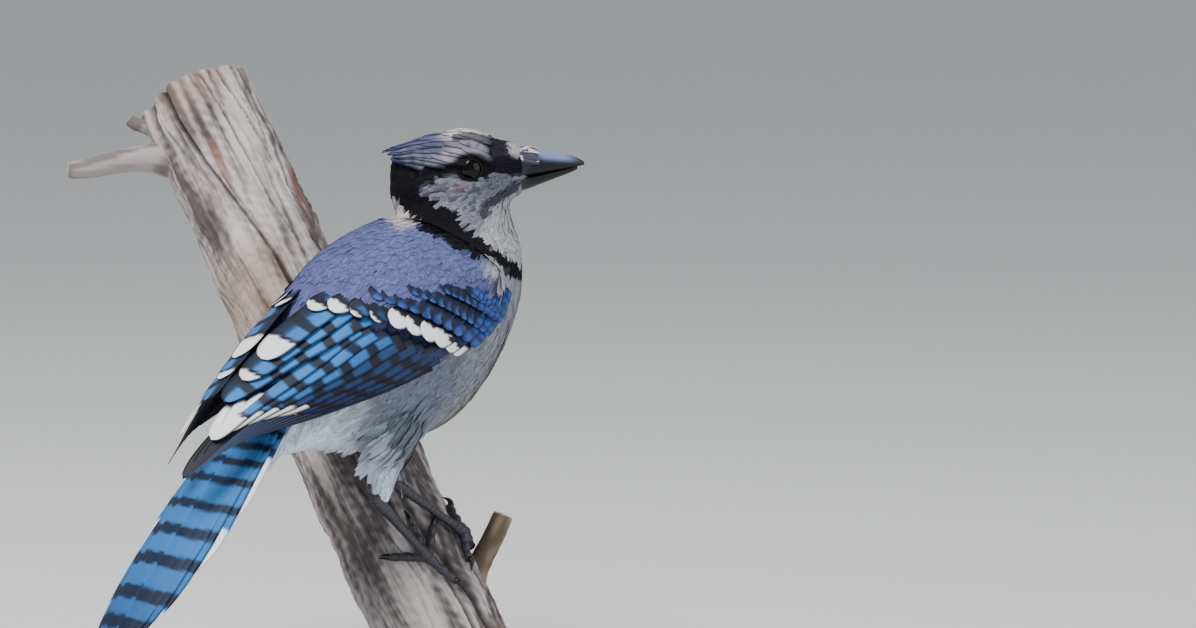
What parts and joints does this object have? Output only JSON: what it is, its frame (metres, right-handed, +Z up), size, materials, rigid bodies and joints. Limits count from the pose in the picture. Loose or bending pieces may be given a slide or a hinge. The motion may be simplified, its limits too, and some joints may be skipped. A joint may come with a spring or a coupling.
{
  "type": "blue jay model on a branch perch",
  "caption": "Life-size still blue jay with folded wings and hanging tail, gripping a cut length of bare branch on a round stand base.",
  "frame": {"origin": "centre of the underside of the stand's round base", "axes": "+Z up; +X the way the bird's body heads; +Y the bird's left side"},
  "size_m": [0.2297, 0.2187, 0.2286],
  "materials": {
    "head": "soft short feathers",
    "neck": "soft feathers",
    "mantle": "soft feathers",
    "wing": "smooth feather vanes",
    "tail": "smooth feather vanes",
    "thigh": "downy feathers",
    "bill_upper": "smooth horn",
    "bill_lower": "smooth horn",
    "eye": "wet gloss",
    "leg": "scaly skin",
    "branch": "weathered, bare",
    "base": "painted, satin",
    "rod": "brushed"
  },
  "bodies": {
    "root": {"head": "head", "eye_right": "eye", "eye_left": "eye", "bill_upper": "bill_upper", "bill_lower": "bill_lower", "neck": "neck", "torso": "mantle", "wing_right": "wing", "wing_left": "wing", "tail": "tail", "thigh_right": "thigh", "thigh_left": "thigh", "tarsus_right": "leg", "tarsus_left": "leg", "foot_right": "leg", "foot_left": "leg", "perch_branch": "branch", "stand_base": "base", "stand_rod_1": "rod", "stand_rod_2": "rod"}
  },
  "joints": []
}
